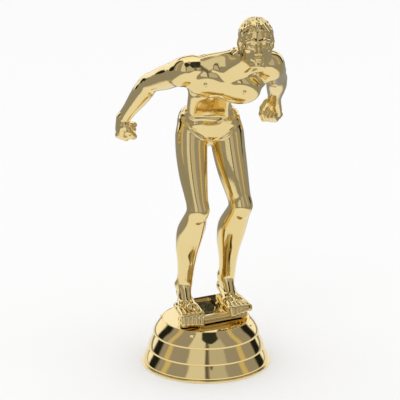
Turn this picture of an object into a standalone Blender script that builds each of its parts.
"""Figure trophy: a swimmer on a starting block, on a flared three-tier base. Metres, +Z up, facing -Y."""

import math

import bmesh
import bpy
from mathutils import Matrix, Vector

MM = 0.001
GAP = 0.3 * MM  # clearance kept between neighbouring pieces

# Base: a hollow bell of revolution.
BASE_RADIUS = 21.85 * MM
TIER_HEIGHT = 5.15 * MM
TIER_RADII = (21.45 * MM, 19.85 * MM, 18.05 * MM)  # widest radius of each tier, bottom tier first
TIER_BELLY = 0.6 * MM  # how far above its lower edge a tier is widest
TIER_BULGE = 0.3 * MM  # how far a tier's flank stands out from a straight cone
GROOVE_RADII = (19.5 * MM, 17.7 * MM, 15.0 * MM)  # radius at the top of each tier
FLANGE_HEIGHT = 0.7 * MM
DECK_Z = 3 * TIER_HEIGHT + 0.05 * MM
WALL = 1.8 * MM
FOOT_WIDTH = 2.0 * MM
STUD_HOLE_RADIUS = 2.75 * MM
BOSS_RADIUS = 7.0 * MM
BOSS_Z = 12.2 * MM
RIB_WIDTH = 1.2 * MM
RIB_COUNT = 4
RIB_Z = 10.4 * MM

# Starting block: a wedge that rises to the back.
BLOCK_FRONT_Y = -6.2 * MM
BLOCK_BACK_Y = 7.0 * MM
BLOCK_HALF_WIDTH = 13.3 * MM  # at the front
BLOCK_BACK_X = (-7.3 * MM, 11.5 * MM)
BLOCK_BOTTOM_Z = DECK_Z + GAP
BLOCK_FRONT_Z = 18.2 * MM
BLOCK_BACK_Z = 20.6 * MM
BLOCK_CORNER = 1.2 * MM
BLOCK_BACK_CORNER = 3.6 * MM
LIP_RADIUS = 1.1 * MM
LIP_HALF_LENGTH = 4.6 * MM
PEG_RADIUS = 1.0 * MM
PEG_DEPTH = 1.6 * MM

# Fixing hardware, a 10-24 stud and its nuts.
STUD_RADIUS = 2.2 * MM
STUD_BOTTOM_Z = 0.0 * MM  # its free end is level with the foot of the base
STUD_TOP_Z = 17.6 * MM
NUT_ACROSS_FLATS = 9.5 * MM
NUT_BORE_RADIUS = STUD_RADIUS + GAP
BLOCK_NUT_BOTTOM_Z = BLOCK_BOTTOM_Z + 0.2 * MM
BLOCK_NUT_HEIGHT = 1.4 * MM
WASHER_RADIUS = 5.6 * MM
WASHER_THICKNESS = 0.9 * MM
LOCK_WASHER_RADIUS = 4.3 * MM
LOCK_WASHER_THICKNESS = 1.1 * MM
LOCK_WASHER_SLIT = 0.6 * MM
CLAMP_NUT_HEIGHT = 3.2 * MM

# Body: the joints of the figure's skeleton.
PELVIS = Vector((4.3, 5.6, 82.2)) * MM
WAIST = Vector((1.0, -4.9, 93.2)) * MM
SHOULDERS = Vector((-1.7, -18.4, 107.7)) * MM
HEAD = Vector((3.2, -28.0, 117.2)) * MM
WAIST_SHARE = 0.44  # how far up the spine the waist is
RIGHT = {
    "toe": Vector((-9.6, -6.1, 18.2)) * MM,
    "ankle": Vector((-5.4, 5.8, 26.5)) * MM,
    "knee": Vector((-4.9, -3.8, 55.5)) * MM,
    "hip": Vector((-1.5, 7.0, 82.5)) * MM,
    "shoulder": Vector((-14.2, -12.6, 106.9)) * MM,
    "elbow": Vector((-18.0, 6.0, 98.6)) * MM,
    "wrist": Vector((-22.2, 17.3, 84.2)) * MM,
    "fist": Vector((-22.2, 19.3, 79.8)) * MM,
}
LEFT = {
    "toe": Vector((9.9, -6.1, 18.2)) * MM,
    "ankle": Vector((10.8, 5.6, 26.7)) * MM,
    "knee": Vector((10.6, -5.1, 55.3)) * MM,
    "hip": Vector((9.9, 4.2, 82.0)) * MM,
    "shoulder": Vector((10.7, -24.2, 108.6)) * MM,
    "elbow": Vector((21.8, -9.2, 98.8)) * MM,
    "wrist": Vector((27.9, 3.4, 87.5)) * MM,
    "fist": Vector((28.7, 5.8, 83.1)) * MM,
}
TRUNK_SECTIONS = (  # share of the way up the spine, and half width, half depth and half height in mm
    (0.00, (10.0, 6.8, 7.2)),
    (0.20, (8.8, 5.9, 6.6)),
    (0.42, (8.4, 5.5, 7.0)),
    (0.64, (11.0, 7.4, 8.5)),
    (0.82, (12.0, 7.2, 7.5)),
)
CORE_OFFSET = 1.7 * MM  # how far the cored-out hollow stays inside the skin
ARM_SPLIT = 0.22  # where the arm meets the body, as a share of the upper arm
PARTING = (  # height, place on the Y axis at x = 0, and skew (y per x) of the bent and twisted parting surface
    (0.0 * MM, 6.3 * MM, 0.0),
    (26.2 * MM, 6.3 * MM, 0.0),
    (55.4 * MM, -3.8 * MM, 0.0),
    (81.7 * MM, 6.8 * MM, -0.27),
    (93.3 * MM, -4.4 * MM, -0.37),
    (107.7 * MM, -19.2 * MM, -0.47),
    (117.2 * MM, -26.2 * MM, -0.35),
    (134.2 * MM, -34.0 * MM, -0.35),
)
PARTING_WIDTH = 90 * MM
PARTING_STRIPS = 18

SEGMENTS = 48
VOXEL = 0.75 * MM
BODY_TRIANGLES = 2700
CORE_TRIANGLES = 440


def material(name, colour, roughness, metallic):
    """A Principled material."""
    made = bpy.data.materials.new(name)
    made.use_nodes = True
    shader = made.node_tree.nodes["Principled BSDF"]
    shader.inputs["Base Color"].default_value = (*colour, 1.0)
    shader.inputs["Roughness"].default_value = roughness
    shader.inputs["Metallic"].default_value = metallic
    made.diffuse_color = (*colour, 1.0)
    return made


def clear_scene():
    for thing in list(bpy.data.objects):
        bpy.data.objects.remove(thing, do_unlink=True)


def object_from(name, bm, look=None, smooth=False):
    """Turns a bmesh into a linked object, faces out."""
    bmesh.ops.recalc_face_normals(bm, faces=bm.faces)
    mesh = bpy.data.meshes.new(name)
    bm.to_mesh(mesh)
    bm.free()
    made = bpy.data.objects.new(name, mesh)
    bpy.context.scene.collection.objects.link(made)
    if look:
        made.data.materials.append(look)
    if smooth:
        mesh.polygons.foreach_set("use_smooth", [True] * len(mesh.polygons))
    return made


def bake(thing):
    """Applies every modifier of the object, keeping its material."""
    graph = bpy.context.evaluated_depsgraph_get()
    mesh = bpy.data.meshes.new_from_object(thing.evaluated_get(graph))
    thing.modifiers.clear()
    thing.data = mesh
    return thing


def boolean(thing, other, operation):
    """Cuts, joins or intersects with another object, then removes that object."""
    step = thing.modifiers.new(operation.lower(), "BOOLEAN")
    step.operation = operation
    step.solver = "EXACT"
    step.object = other
    bake(thing)
    bpy.data.objects.remove(other, do_unlink=True)
    return thing


def revolve(outline, segments=SEGMENTS):
    """A closed (radius, z) outline turned about the Z axis."""
    bm = bmesh.new()
    ring = [bm.verts.new((radius, 0, z)) for radius, z in outline]
    edges = [bm.edges.new((a, b)) for a, b in zip(ring, ring[1:] + ring[:1])]
    bmesh.ops.spin(
        bm, geom=ring + edges, cent=(0, 0, 0), axis=(0, 0, 1), angle=math.tau, steps=segments, use_merge=True
    )
    bmesh.ops.remove_doubles(bm, verts=bm.verts, dist=1e-6)
    return bm


def tube(inner, outer, bottom, top, segments=SEGMENTS):
    return revolve([(inner, bottom), (outer, bottom), (outer, top), (inner, top)], segments)


def prism(outline, bottom, top):
    """A closed (x, y) outline raised from bottom to top."""
    bm = bmesh.new()
    face = bm.faces.new([bm.verts.new((x, y, bottom)) for x, y in outline])
    raised = bmesh.ops.extrude_face_region(bm, geom=[face])
    verts = [item for item in raised["geom"] if isinstance(item, bmesh.types.BMVert)]
    bmesh.ops.translate(bm, verts=verts, vec=(0, 0, top - bottom))
    return bm


def slab(corner_a, corner_b):
    """An axis-aligned box between two corners."""
    (x0, y0, z0), (x1, y1, z1) = corner_a, corner_b
    return prism([(x0, y0), (x1, y0), (x1, y1), (x0, y1)], z0, z1)


def hexagon(across_flats):
    radius = across_flats / math.sqrt(3)
    return [(radius * math.cos(k * math.pi / 3), radius * math.sin(k * math.pi / 3)) for k in range(6)]


def disc(radius, segments=32):
    turn = math.tau / segments
    return [(radius * math.cos(k * turn), radius * math.sin(k * turn)) for k in range(segments)]


# Base


def tier(bottom_radius, belly_radius, top_radius, bottom_z, top_z, points=4):
    """One flared tier: a short rounded lower edge, then a slightly convex cone up to the next groove."""
    belly_z = bottom_z + TIER_BELLY
    found = [(bottom_radius, bottom_z), ((bottom_radius + 3 * belly_radius) / 4, bottom_z + 0.3 * TIER_BELLY)]
    for k in range(points + 1):
        share = k / points
        radius = belly_radius + (top_radius - belly_radius) * share
        found.append((radius + TIER_BULGE * math.sin(math.pi * share), belly_z + (top_z - belly_z) * share))
    return found


def base_outline():
    """Outside from the hole in the deck, down the tiers to the foot, and back up inside."""
    outer = [(BASE_RADIUS, 0), (BASE_RADIUS, FLANGE_HEIGHT)]
    bottoms = (BASE_RADIUS - 0.7 * MM, GROOVE_RADII[0], GROOVE_RADII[1])
    starts = (FLANGE_HEIGHT, TIER_HEIGHT, 2 * TIER_HEIGHT)
    for k in range(3):
        outer += tier(bottoms[k], TIER_RADII[k], GROOVE_RADII[k], starts[k], (k + 1) * TIER_HEIGHT)[1 if k else 0 :]
    outer += [(GROOVE_RADII[2] - 0.2 * MM, DECK_Z), (STUD_HOLE_RADIUS, DECK_Z)]
    inner = [
        (STUD_HOLE_RADIUS, BOSS_Z),
        (BOSS_RADIUS, BOSS_Z),
        (BOSS_RADIUS, DECK_Z - WALL),
        (GROOVE_RADII[2] - 1.2 * MM, DECK_Z - WALL),
        (GROOVE_RADII[1] - WALL, 2 * TIER_HEIGHT),
        (GROOVE_RADII[0] - WALL, TIER_HEIGHT),
        (BASE_RADIUS - FOOT_WIDTH, 0),
    ]
    return outer + inner


def base_shell():
    made = object_from("base_shell", revolve(base_outline()), material("base gold", (0.90, 0.74, 0.38), 0.12, 1.0))
    for k in range(RIB_COUNT):
        outer = GROOVE_RADII[1] - 0.8 * WALL
        rib = slab((BOSS_RADIUS - 0.6 * MM, -RIB_WIDTH / 2, RIB_Z), (outer, RIB_WIDTH / 2, DECK_Z - 0.5 * WALL))
        turn = Matrix.Rotation((k + 0.5) * math.tau / RIB_COUNT, 4, "Z")
        bmesh.ops.transform(rib, matrix=turn, verts=rib.verts)
        boolean(made, object_from("rib", rib), "UNION")
    return made


# Starting block


def block_top(y):
    """Height of the block's sloping top at a place from front to back."""
    return BLOCK_FRONT_Z + (BLOCK_BACK_Z - BLOCK_FRONT_Z) * (y - BLOCK_FRONT_Y) / (BLOCK_BACK_Y - BLOCK_FRONT_Y)


def rounded_outline(corners, steps=4):
    """A convex outline, counter-clockwise, from (x, y, rounding radius) corners."""
    outline = []
    for k, (x, y, radius) in enumerate(corners):
        spot = Vector((x, y))
        to_last = (Vector(corners[k - 1][:2]) - spot).normalized()
        to_next = (Vector(corners[(k + 1) % len(corners)][:2]) - spot).normalized()
        half = to_last.angle(to_next) / 2
        centre = spot + (to_last + to_next).normalized() * (radius / math.sin(half))
        start = math.atan2(to_last.x, -to_last.y)
        for m in range(steps + 1):
            turn = start + (math.pi - 2 * half) * m / steps
            outline.append((centre.x + radius * math.cos(turn), centre.y + radius * math.sin(turn)))
    return outline


def block_outline(grow=0.0):
    """Plan of the block: wide and nearly square at the front, drawn in to the back to stay on the deck."""
    wide = BLOCK_HALF_WIDTH + grow
    left, right = BLOCK_BACK_X[0] - grow, BLOCK_BACK_X[1] + grow
    front, back = BLOCK_FRONT_Y - grow, BLOCK_BACK_Y + grow
    loose = BLOCK_BACK_CORNER
    return rounded_outline(
        ((wide, front, BLOCK_CORNER), (right, back, loose), (left, back, loose), (-wide, front, BLOCK_CORNER))
    )


def wedge(grow=0.0, bottom=BLOCK_BOTTOM_Z):
    """The block's bare shape, or the same grown all round."""
    bm = prism(block_outline(grow), bottom, BLOCK_BACK_Z + 5 * MM)
    slope = (BLOCK_BACK_Z - BLOCK_FRONT_Z) / (BLOCK_BACK_Y - BLOCK_FRONT_Y)
    normal = Vector((0, -slope, 1)).normalized()
    cut = bmesh.ops.bisect_plane(
        bm,
        geom=bm.verts[:] + bm.edges[:] + bm.faces[:],
        plane_co=Vector((0, BLOCK_FRONT_Y, BLOCK_FRONT_Z)) + normal * grow,
        plane_no=normal,
        clear_outer=True,
    )
    edges = [item for item in cut["geom_cut"] if isinstance(item, bmesh.types.BMEdge)]
    bmesh.ops.holes_fill(bm, edges=edges, sides=0)
    return bm


def lip():
    """The rounded front lip between the feet."""
    place = Matrix.Translation((0.6 * MM, BLOCK_FRONT_Y, BLOCK_FRONT_Z - 0.7 * LIP_RADIUS))
    bm = bmesh.new()
    bmesh.ops.create_cone(
        bm,
        cap_ends=True,
        segments=20,
        radius1=LIP_RADIUS,
        radius2=LIP_RADIUS,
        depth=2 * LIP_HALF_LENGTH,
        matrix=place @ Matrix.Rotation(math.pi / 2, 4, "Y"),
    )
    return bm


def heel_spots():
    """Where each foot's peg goes into the block."""
    return [(side["ankle"].x * 0.75 + side["toe"].x * 0.25, 2.6 * MM) for side in (RIGHT, LEFT)]


def cylinder_at(spot, radius, bottom, top):
    bm = prism(disc(radius, 20), bottom, top)
    bmesh.ops.translate(bm, verts=bm.verts, vec=(spot[0], spot[1], 0))
    return bm


def starting_block():
    made = object_from("starting_block", wedge(), material("block gold", (0.86, 0.70, 0.36), 0.14, 1.0))
    boolean(made, object_from("lip", lip()), "UNION")
    pocket_top = BLOCK_NUT_BOTTOM_Z + BLOCK_NUT_HEIGHT + GAP
    below = BLOCK_BOTTOM_Z - 1 * MM
    pocket = prism(hexagon(NUT_ACROSS_FLATS + 2 * GAP), below, pocket_top)
    boolean(made, object_from("pocket", pocket), "DIFFERENCE")
    bore = prism(disc(STUD_HOLE_RADIUS), below, STUD_TOP_Z + GAP)
    boolean(made, object_from("bore", bore), "DIFFERENCE")
    for spot in heel_spots():
        floor = block_top(spot[1]) - PEG_DEPTH - 2 * GAP
        hole = cylinder_at(spot, PEG_RADIUS + GAP, floor, BLOCK_BACK_Z + 2 * MM)
        boolean(made, object_from("hole", hole), "DIFFERENCE")
    return made


# Fixing hardware


def steel(name):
    return material(name, (0.62, 0.62, 0.64), 0.35, 1.0)


def fixing_stud():
    chamfer = 0.4 * MM
    outline = [
        (0, STUD_BOTTOM_Z),
        (STUD_RADIUS - chamfer, STUD_BOTTOM_Z),
        (STUD_RADIUS, STUD_BOTTOM_Z + chamfer),
        (STUD_RADIUS, STUD_TOP_Z - chamfer),
        (STUD_RADIUS - chamfer, STUD_TOP_Z),
        (0, STUD_TOP_Z),
    ]
    bm = bmesh.new()
    chain = [bm.verts.new((radius, 0, z)) for radius, z in outline]
    edges = [bm.edges.new(pair) for pair in zip(chain, chain[1:])]
    bmesh.ops.spin(bm, geom=chain + edges, cent=(0, 0, 0), axis=(0, 0, 1), angle=math.tau, steps=32)
    bmesh.ops.remove_doubles(bm, verts=bm.verts, dist=1e-6)
    return object_from("fixing_stud", bm, steel("stud steel"))


def hex_nut(name, bottom, height):
    made = object_from(name, prism(hexagon(NUT_ACROSS_FLATS), bottom, bottom + height), steel(name + " steel"))
    bore = prism(disc(NUT_BORE_RADIUS), bottom - 1 * MM, bottom + height + 1 * MM)
    return boolean(made, object_from("bore", bore), "DIFFERENCE")


def washers_and_nut():
    """The stack under the boss, from the top down. Returns the three pieces."""
    top = BOSS_Z - GAP
    flat = tube(NUT_BORE_RADIUS, WASHER_RADIUS, top - WASHER_THICKNESS, top, 40)
    flat = object_from("flat_washer", flat, steel("flat washer steel"))
    top -= WASHER_THICKNESS + GAP
    spring = tube(NUT_BORE_RADIUS, LOCK_WASHER_RADIUS, top - LOCK_WASHER_THICKNESS, top, 40)
    spring = object_from("lock_washer", spring, steel("lock washer steel"))
    slit = LOCK_WASHER_SLIT / 2
    cut = slab((0, -slit, top - 2 * LOCK_WASHER_THICKNESS), (2 * LOCK_WASHER_RADIUS, slit, top + 1 * MM))
    boolean(spring, object_from("slit", cut), "DIFFERENCE")
    top -= LOCK_WASHER_THICKNESS + GAP
    return flat, spring, hex_nut("clamp_nut", top - CLAMP_NUT_HEIGHT, CLAMP_NUT_HEIGHT)


# Figure


def aim(start, end):
    """Rotation that turns +Z to point from start to end."""
    return (end - start).to_track_quat("Z", "Y").to_matrix().to_4x4()


def limb(bm, start, end, radius_a, radius_b, inset=0.0):
    """A tapered rod with round ends."""
    radius_a -= inset
    radius_b -= inset
    place = Matrix.Translation((start + end) / 2) @ aim(start, end)
    bmesh.ops.create_cone(
        bm,
        cap_ends=True,
        segments=20,
        radius1=radius_a,
        radius2=radius_b,
        depth=(end - start).length,
        matrix=place,
    )
    for centre, radius in ((start, radius_a), (end, radius_b)):
        bmesh.ops.create_uvsphere(
            bm, u_segments=20, v_segments=12, radius=radius, matrix=Matrix.Translation(centre)
        )


def ball(bm, centre, radii, frame=None, inset=0.0):
    """An ellipsoid, with its radii in millimetres along the axes of a frame."""
    frame = frame or Matrix.Identity(4)
    scale = Matrix.Diagonal([radius * MM - inset for radius in radii] + [1.0])
    bmesh.ops.create_uvsphere(
        bm, u_segments=24, v_segments=16, radius=1.0, matrix=Matrix.Translation(centre) @ frame @ scale
    )


def spine_point(share):
    """A place along the bent spine."""
    if share < WAIST_SHARE:
        return PELVIS.lerp(WAIST, share / WAIST_SHARE)
    return WAIST.lerp(SHOULDERS, (share - WAIST_SHARE) / (1 - WAIST_SHARE))


def trunk_frame(share):
    """Axes at a place along the spine: across to the figure's left, out of the back, and up the spine."""
    up = ((SHOULDERS - WAIST) if share > WAIST_SHARE else (WAIST - PELVIS)).normalized()
    hips = (LEFT["hip"] - RIGHT["hip"]).normalized()
    across = hips.lerp((LEFT["shoulder"] - RIGHT["shoulder"]).normalized(), share)
    back = up.cross(across).normalized()
    return Matrix((back.cross(up), back, up)).transposed().to_4x4()


def trunk(bm, inset=0.0):
    for share, radii in TRUNK_SECTIONS:
        ball(bm, spine_point(share), radii, trunk_frame(share), inset)
    if inset:
        return
    limb(bm, RIGHT["shoulder"], LEFT["shoulder"], 4.9 * MM, 4.9 * MM)
    neck = SHOULDERS + Vector((0.5, -2.0, 2.5)) * MM
    limb(bm, neck, HEAD + Vector((-0.2, 2.0, -4.0)) * MM, 5.2 * MM, 4.2 * MM)
    ball(bm, HEAD + Vector((0, 0.6, 1.2)) * MM, (6.2, 7.4, 7.4))
    ball(bm, HEAD + Vector((0, -1.2, -3.2)) * MM, (5.0, 5.4, 5.6))


def leg(bm, side, inset=0.0):
    back = trunk_frame(0).col[1].to_3d()
    glute = side["hip"] + back * 2.6 * MM
    ball(bm, glute, (5.3, 5.6, 6.4), trunk_frame(0), inset)
    limb(bm, side["hip"], side["knee"], 6.0 * MM, 3.9 * MM, inset)
    if inset:
        return
    calf = side["knee"].lerp(side["ankle"], 0.28) + Vector((0, 1.6, 0)) * MM
    limb(bm, side["knee"], side["ankle"], 3.7 * MM, 2.7 * MM)
    limb(bm, calf, side["ankle"], 3.7 * MM, 2.5 * MM)


def foot(bm, side):
    """Heel, instep and ball of the foot on the block, with the toes bent over its front edge."""
    heel = Vector((side["ankle"].x + 0.05 * (side["ankle"].x - side["toe"].x), 5.6 * MM, 23.6 * MM))
    ball_of_foot = Vector((side["toe"].x, -4.6 * MM, 20.9 * MM))
    limb(bm, heel, side["ankle"], 2.6 * MM, 2.6 * MM)
    for shift in (-1.5 * MM, 1.5 * MM):
        limb(bm, heel, ball_of_foot + Vector((shift, 0, 0)), 2.5 * MM, 1.7 * MM)
        toe = side["toe"] + Vector((shift, -1.5 * MM, -1.0 * MM))
        limb(bm, ball_of_foot + Vector((shift, 0, 0)), toe, 1.7 * MM, 1.2 * MM)
    limb(bm, side["ankle"], ball_of_foot, 2.8 * MM, 1.8 * MM)


def arm(bm, side):
    limb(bm, side["shoulder"], side["elbow"], 4.7 * MM, 3.0 * MM)
    limb(bm, side["elbow"], side["wrist"], 3.2 * MM, 2.2 * MM)
    limb(bm, side["wrist"], side["fist"], 2.2 * MM, 3.1 * MM)


def fused(name, bm, triangles):
    """Overlapping closed shapes made one smooth skin with about so many triangles."""
    made = object_from(name, bm)
    remesh = made.modifiers.new("remesh", "REMESH")
    remesh.mode = "VOXEL"
    remesh.voxel_size = VOXEL
    soften = made.modifiers.new("soften", "SMOOTH")
    soften.factor = 0.5
    soften.iterations = 8
    bake(made)
    split = made.modifiers.new("split", "TRIANGULATE")
    split.quad_method = "BEAUTY"
    bake(made)
    thin = made.modifiers.new("thin", "DECIMATE")
    thin.ratio = triangles / len(made.data.polygons)
    return bake(made)


def half_space(name, point, normal, reach=90 * MM):
    """A big box whose top face lies in the plane."""
    bm = slab((-reach, -reach, -2 * reach), (reach, reach, 0))
    place = Matrix.Translation(point) @ aim(Vector((0, 0, 0)), normal)
    bmesh.ops.transform(bm, matrix=place, verts=bm.verts)
    return object_from(name, bm)


def body():
    """The whole skin of the figure, clear of the block, with a peg under each foot."""
    bm = bmesh.new()
    trunk(bm)
    for side in (RIGHT, LEFT):
        leg(bm, side)
        foot(bm, side)
        arm(bm, side)
    made = fused("body", bm, BODY_TRIANGLES)
    boolean(made, object_from("clearance", wedge(GAP, 1 * MM)), "DIFFERENCE")
    for spot in heel_spots():
        floor = block_top(spot[1]) - PEG_DEPTH
        peg = cylinder_at(spot, PEG_RADIUS, floor, BLOCK_BACK_Z + 2 * MM)
        boolean(made, object_from("peg", peg), "UNION")
    return made


def core():
    """The hollow inside the trunk and thighs, open at the parting line."""
    bm = bmesh.new()
    trunk(bm, CORE_OFFSET)
    for side in (RIGHT, LEFT):
        leg(bm, side, CORE_OFFSET)
    return fused("core", bm, CORE_TRIANGLES)


def parting_prism(name, shift, front):
    """Everything in front of, or behind, the bent parting surface, moved by shift along Y."""
    reach = (-90 if front else 90) * MM
    bm = bmesh.new()
    near, far = [], []
    for strip in range(PARTING_STRIPS + 1):
        x = (strip / PARTING_STRIPS - 0.5) * PARTING_WIDTH
        near.append([bm.verts.new((x, y + skew * x + shift, z)) for z, y, skew in PARTING])
        far.append([bm.verts.new((x, reach, z)) for z, _, _ in PARTING])
    for outline in (near[0] + far[0][::-1], near[-1] + far[-1][::-1]):
        bm.faces.new(outline)
    for a, b, far_a, far_b in zip(near, near[1:], far, far[1:]):
        for k in range(len(PARTING) - 1):
            bm.faces.new((a[k], b[k], b[k + 1]))
            bm.faces.new((a[k], b[k + 1], a[k + 1]))
            bm.faces.new((far_a[k], far_b[k], far_b[k + 1], far_a[k + 1]))
        for end in (0, -1):
            bm.faces.new((a[end], b[end], far_b[end], far_a[end]))
    return object_from(name, bm)


def copy_of(thing, name):
    made = thing.copy()
    made.data = thing.data.copy()
    made.name = name
    bpy.context.scene.collection.objects.link(made)
    return made


def arm_cut(side):
    """Point and direction of the cut between the body and an arm."""
    shoulder, elbow = side["shoulder"], side["elbow"]
    outward = Vector((math.copysign(1.0, elbow.x), 0, 0))
    along = (elbow - shoulder).normalized()
    return shoulder.lerp(elbow, ARM_SPLIT), (along + 0.9 * outward).normalized()


def arm_reach(side, grow):
    """A rod-shaped zone round one arm, closed off at the cut."""
    bm = bmesh.new()
    limb(bm, side["shoulder"], side["elbow"], 7.5 * MM, 7.5 * MM)
    limb(bm, side["elbow"], side["wrist"], 7.5 * MM, 7.5 * MM)
    limb(bm, side["wrist"], side["fist"] + (side["fist"] - side["wrist"]), 7.5 * MM, 7.5 * MM)
    zone = fused("zone", bm, 600)
    point, normal = arm_cut(side)
    return boolean(zone, half_space("cut", point - normal * grow, normal), "DIFFERENCE")


def figure():
    """Front and back shells and the two arms."""
    skin = body()
    pieces = {}
    for name, side in (("right_arm", RIGHT), ("left_arm", LEFT)):
        pieces[name] = boolean(copy_of(skin, name), arm_reach(side, 0), "INTERSECT")
    for side in (RIGHT, LEFT):
        boolean(skin, arm_reach(side, GAP), "DIFFERENCE")
    boolean(skin, core(), "DIFFERENCE")
    for name, front in (("figure_front_shell", True), ("figure_back_shell", False)):
        shift = -GAP / 2 if front else GAP / 2
        pieces[name] = boolean(copy_of(skin, name), parting_prism("half", shift, front), "INTERSECT")
    bpy.data.objects.remove(skin, do_unlink=True)
    for name, thing in pieces.items():
        thing.data.materials.clear()
        thing.data.materials.append(material(name.replace("_", " ") + " gold", (0.90, 0.76, 0.42), 0.12, 1.0))
    return pieces


def main():
    clear_scene()
    base_shell()
    starting_block()
    fixing_stud()
    hex_nut("block_nut", BLOCK_NUT_BOTTOM_Z, BLOCK_NUT_HEIGHT)
    washers_and_nut()
    figure()


main()
